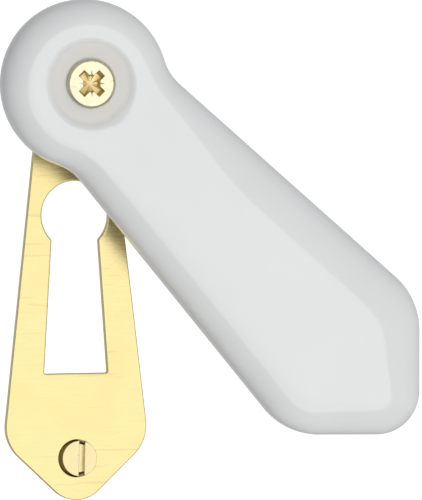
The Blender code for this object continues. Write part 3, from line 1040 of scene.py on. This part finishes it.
def pivot_screw_mesh(pivot, material):
    head, shank, chamfer = pivot.head_radius, pivot.shank_radius, pivot.head_chamfer
    land_top = PIVOT_SCREW_FACE - chamfer
    land_bottom = land_top - pivot.head_land
    soft = 0.05 * MM
    body = turned("pivot_screw_body", [
        (shank * 0.7, PIVOT_SCREW_END), (shank, PIVOT_SCREW_END + 0.3 * shank),
        (shank, land_bottom - (head - shank)),
        (head - soft, land_bottom - soft), (head, land_bottom + soft),
        (head, land_top - soft), (head - soft, land_top + soft),
        (head - chamfer, PIVOT_SCREW_FACE - soft),
        (head - chamfer - 2 * soft, PIVOT_SCREW_FACE),
        (head - chamfer - 4 * soft, PIVOT_SCREW_FACE)])
    recessed = carved(body, [placed(cutter, turn=-pivot.cross_turn)
                             for cutter in cross_cutters(pivot)])
    thread = run_tree(shared("screw_thread", thread_tree), "pivot_thread", {
        "Radius": shank, "Length": PILLAR_TOP - PIVOT_SCREW_END - 0.6 * MM,
        "Point Length": 0.01 * MM, "Pitch": pivot.thread_pitch, "Ridge": 0.22 * MM,
        "Material": material})
    thread.transform(Matrix.Translation((0.0, -PILLAR_TOP + 0.3 * MM, 0.0)))
    return merged("pivot_screw", [recessed, thread])


class ESCUTCHEON_OT_pivot(bpy.types.Operator):
    """Make the riveted pillar, the nylon bush and the cross-head screw that the cover turns on"""
    bl_idname = "escutcheon.make_pivot"
    bl_label = "Pillar, Bush and Pivot Screw"

    def execute(self, context):
        pivot = context.scene.escutcheon.pivot
        brass = shared("mat_turned_brass", turned_brass)
        self.make_pillar(pivot, brass)
        self.make_bush(pivot)
        highlight_pale_brass = shared("mat_plated_brass", highlight_painted_brass)
        finished(pivot_screw_mesh(pivot, highlight_pale_brass), "cross_head_screw", highlight_pale_brass,
                 "plate", "pivot_screw")
        return {"FINISHED"}

    def make_pillar(self, pivot, brass):
        radius, tail, tapped = pivot.pillar_radius, pivot.pillar_tail_radius, pivot.tapped_radius
        shoulder = PLATE_THICKNESS + GAP
        soft = 0.15 * MM
        body = turned("pillar", [
            (tail + pivot.rivet_flare * 0.6, 0.0), (tail + pivot.rivet_flare, 0.04 * MM),
            (tail, pivot.rivet_flare), (tail, shoulder),
            (radius - soft, shoulder), (radius, shoulder + soft),
            (radius, PILLAR_TOP - soft), (radius - soft, PILLAR_TOP)])
        hole = turned("tapped_hole", [
            (tapped * 0.3, pivot.tapped_floor), (tapped, pivot.tapped_floor + 0.4 * MM),
            (tapped, PILLAR_TOP - 0.2 * MM), (tapped + 0.4 * MM, PILLAR_TOP + 0.2 * MM)])
        peening = turned("peening", [
            (tail * 0.45, -1.0 * MM), (tail * 0.45, 0.0), (tail * 0.2, 0.12 * MM)])
        finished(carved(body, [hole, peening]), "riveted_pillar", brass,
                 "plate", "pivot_pillar")

    def make_bush(self, pivot):
        outer, running = pivot.bush_radius, pivot.pillar_radius + GAP
        throat = 1.75 * MM
        step = PILLAR_TOP + GAP
        seat_bottom = PIVOT_SCREW_FACE - pivot.head_chamfer - pivot.head_land - pivot.head_radius
        mouth = BUSH_TOP - seat_bottom + GAP
        low = COVER_UNDERSIDE + GAP
        mesh = turned("bush", [
            (outer - 0.1 * MM, low), (outer, low + 0.1 * MM), (outer, BUSH_TOP),
            (mouth, BUSH_TOP), (throat, BUSH_TOP - (mouth - throat)), (throat, step),
            (running, step), (running, low + 0.15 * MM), (running + 0.15 * MM, low)], ring=True)
        finished(mesh, "nylon_bush", shared("mat_nylon", nylon), "cover", "cover_bush")


class ESCUTCHEON_OT_washer(bpy.types.Operator):
    """Make the spring washer that holds the cover at any angle"""
    bl_idname = "escutcheon.make_washer"
    bl_label = "Wave Washer"

    def execute(self, context):
        washer = context.scene.escutcheon.washer
        steel = shared("mat_spring_steel", spring_steel)
        low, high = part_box("wave_washer")
        mesh = run_tree(shared("wave_washer", washer_tree), "spring_washer", {
            "Inner Radius": washer.inner_radius, "Outer Radius": washer.outer_radius,
            "Thickness": washer.thickness, "Waves": washer.waves,
            "Swell": (high.y - low.y - washer.thickness) / 2, "Material": steel})
        mesh.transform(Matrix.Translation((0.0, (low.y + high.y) / 2, 0.0)))
        finished(mesh, "spring_washer", steel, "plate", "wave_washer")
        return {"FINISHED"}


# ---------------------------------------------------------------- the fixing screws

def fixing_screw_mesh(screw, face, tip, material):
    """A slotted wood screw about its own axis, from its face to its point."""
    head, shank, core = screw.head_radius, screw.shank_radius, screw.core_radius
    land_bottom = face - screw.head_land
    soft = 0.04 * MM
    neck = land_bottom - (head - shank)
    thread_start = neck - screw.shank_length
    body = turned("screw_body", [
        (0.06 * MM, tip), (core * 0.55, tip + 0.5 * screw.point_length),
        (core, tip + screw.point_length), (core, thread_start - 0.4 * MM),
        (shank, thread_start), (shank, neck),
        (head - soft, land_bottom - soft), (head, land_bottom + soft),
        (head, face - soft), (head - soft, face), (head - 3 * soft, face)])
    reach = 2 * head

    def slot_corners(half_width, height):
        return at_height([Vector((screw.slot_shift + across * half_width, along * reach))
                          for across, along in ((-1, -1), (1, -1), (1, 1), (-1, 1))], height)

    half = screw.slot_width / 2
    slot = loft("slot_cutter", [
        slot_corners(half, face - screw.slot_depth), slot_corners(half, face - soft),
        slot_corners(half + soft, face), slot_corners(half + soft, face + 1.0 * MM)])
    thread = run_tree(shared("screw_thread", thread_tree), "wood_thread", {
        "Radius": core, "Length": thread_start - tip - screw.point_length,
        "Point Length": screw.point_length * 0.92, "Pitch": screw.thread_pitch,
        "Ridge": shank - core, "Material": material})
    thread.transform(Matrix.Translation((0.0, -thread_start, 0.0)))
    return merged("wood_screw", [carved(body, [slot]), thread])


class ESCUTCHEON_OT_fixing_screws(bpy.types.Operator):
    """Make the two slotted wood screws that hold the plate to the door"""
    bl_idname = "escutcheon.make_fixing_screws"
    bl_label = "Fixing Screws"

    def execute(self, context):
        screw = context.scene.escutcheon.fixing
        brass = shared("mat_turned_brass", turned_brass)
        for node, turn in zip(FIXING_SCREWS, (screw.upper_turn, screw.lower_turn)):
            low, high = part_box(node)
            mesh = fixing_screw_mesh(screw, -low.y, -high.y, brass)
            placed(mesh, drop=-(low.z + high.z) / 2, across=(low.x + high.x) / 2, turn=turn)
            finished(mesh, node.replace("fixing", "wood"), brass, "plate", node)
        return {"FINISHED"}


# ---------------------------------------------------------------- the stage

def direction(azimuth, elevation):
    """From the object towards a place at that azimuth and elevation; azimuth 0 is the front."""
    return Vector((math.sin(azimuth) * math.cos(elevation),
                   -math.cos(azimuth) * math.cos(elevation), math.sin(elevation)))


class ESCUTCHEON_OT_stage(bpy.types.Operator):
    """Make the floor, the lights, the surroundings and the camera"""
    bl_idname = "escutcheon.make_stage"
    bl_label = "Stage"

    def execute(self, context):
        stage = context.scene.escutcheon.stage
        self.make_surroundings(stage)
        self.make_floor(stage)
        self.make_light("soft_box", stage.soft_box_azimuth, stage.soft_box_elevation,
                        stage.soft_box_reach, stage.soft_box)
        for name, azimuth, elevation in (
                ("fill_light", 0.0, -10.0), ("side_light", 40.0, 40.0),
                ("back_light", 170.0, 20.0)):
            lamp = self.make_light(name, math.radians(azimuth), math.radians(elevation),
                                   stage.broad_reach, getattr(stage, name))
            lamp.visible_glossy = False
        self.make_camera(stage)
        return {"FINISHED"}

    def make_surroundings(self, stage):
        """A room that is brighter where it is mirrored, and plain white to the camera."""
        world = bpy.data.worlds.new("plain_room")
        bpy.context.scene.world = world
        world.use_nodes = True
        tree = world.node_tree
        light = tree.nodes["Background"]
        room = Nodes(tree)
        sight = room.add("ShaderNodeLightPath").outputs
        strength = room.math("MULTIPLY_ADD", sight["Is Glossy Ray"],
                             stage.mirrored - stage.surround, stage.surround)
        fill(tree, light, {"Color": (0.97, 0.98, 1.0, 1.0), "Strength": strength})
        seen = room.add("ShaderNodeBackground", {
            "Color": (1.0, 1.0, 1.0, 1.0), "Strength": stage.backdrop})
        both = room.add("ShaderNodeMixShader", {
            0: sight["Is Camera Ray"], 1: light.outputs[0], 2: seen.outputs[0]})
        fill(tree, tree.nodes["World Output"], {"Surface": both.outputs[0]})
        bpy.context.scene.view_settings.view_transform = "Standard"

    def make_floor(self, stage):
        level = cad_box[0].z - stage.floor_drop
        shape = bmesh.new()
        bmesh.ops.create_grid(shape, x_segments=24, y_segments=24, size=2.0,
                              matrix=Matrix.Translation((0.0, 0.0, level)))
        floor = plain(finish_mesh(shape, "pale_floor"))
        floor.data.materials.append(shared("mat_floor", floor_paint))

    def make_light(self, name, azimuth, elevation, reach, brightness):
        """A round soft box that fills a half angle and is as bright as asked, whatever its size."""
        radius = LIGHT_DISTANCE * math.tan(reach)
        light = bpy.data.lights.new(name, "AREA")
        light.shape = "DISK"
        light.size = 2 * radius
        light.energy = 4.0 * brightness * math.pi * radius ** 2
        lamp = bpy.data.objects.new(name, light)
        bpy.context.scene.collection.objects.link(lamp)
        way = direction(azimuth, elevation)
        lamp.location = LIGHT_AIM + way * LIGHT_DISTANCE
        lamp.rotation_mode = "QUATERNION"
        lamp.rotation_quaternion = way.to_track_quat("Z", "Y")
        lamp.visible_camera = False
        return lamp

    def make_camera(self, stage):
        camera = bpy.data.cameras.new("camera")
        camera.lens = stage.lens
        camera.sensor_width = 36.0
        camera.clip_start = 0.01
        camera.clip_end = 20.0
        holder = bpy.data.objects.new("camera", camera)
        bpy.context.scene.collection.objects.link(holder)
        back = direction(stage.azimuth, stage.elevation)
        right = Vector((0.0, 0.0, 1.0)).cross(back).normalized()
        up = back.cross(right)
        level = Matrix((right, up, back)).transposed()
        aim = Vector((stage.aim_across, 0.0, -stage.aim_drop))
        holder.matrix_world = (Matrix.Translation(aim + back * stage.distance)
                               @ (level @ Matrix.Rotation(-stage.roll, 3, "Z")).to_4x4())
        bpy.context.scene.camera = holder


class ESCUTCHEON_PT_panel(bpy.types.Panel):
    """Buttons for each piece, and the sizes that they are made from"""
    bl_label = "Covered Escutcheon"
    bl_idname = "ESCUTCHEON_PT_panel"
    bl_space_type = "VIEW_3D"
    bl_region_type = "UI"
    bl_category = "Escutcheon"

    def draw(self, context):
        settings = context.scene.escutcheon
        for operator, group in zip(OPERATORS, GROUPS):
            box = self.layout.box()
            box.operator(operator.bl_idname)
            values = getattr(settings, group)
            for name in values.__annotations__:
                box.prop(values, name)


OPERATORS = (ESCUTCHEON_OT_cover, ESCUTCHEON_OT_plate, ESCUTCHEON_OT_pivot,
             ESCUTCHEON_OT_washer, ESCUTCHEON_OT_fixing_screws, ESCUTCHEON_OT_stage)
GROUPS = ("cover", "plate", "pivot", "washer", "fixing", "stage")
CLASSES = (CoverSettings, PlateSettings, PivotSettings, WasherSettings, FixingScrewSettings,
           StageSettings, EscutcheonSettings) + OPERATORS + (ESCUTCHEON_PT_panel,)


def register():
    for item in CLASSES:
        bpy.utils.register_class(item)
    bpy.types.Scene.escutcheon = PointerProperty(type=EscutcheonSettings)


def unregister():
    del bpy.types.Scene.escutcheon
    for item in reversed(CLASSES):
        bpy.utils.unregister_class(item)


def main():
    register()
    bpy.ops.escutcheon.make_cover()
    bpy.ops.escutcheon.make_plate()
    bpy.ops.escutcheon.make_pivot()
    bpy.ops.escutcheon.make_washer()
    bpy.ops.escutcheon.make_fixing_screws()
    bpy.ops.escutcheon.make_stage()


if __name__ == "__main__":
    main()
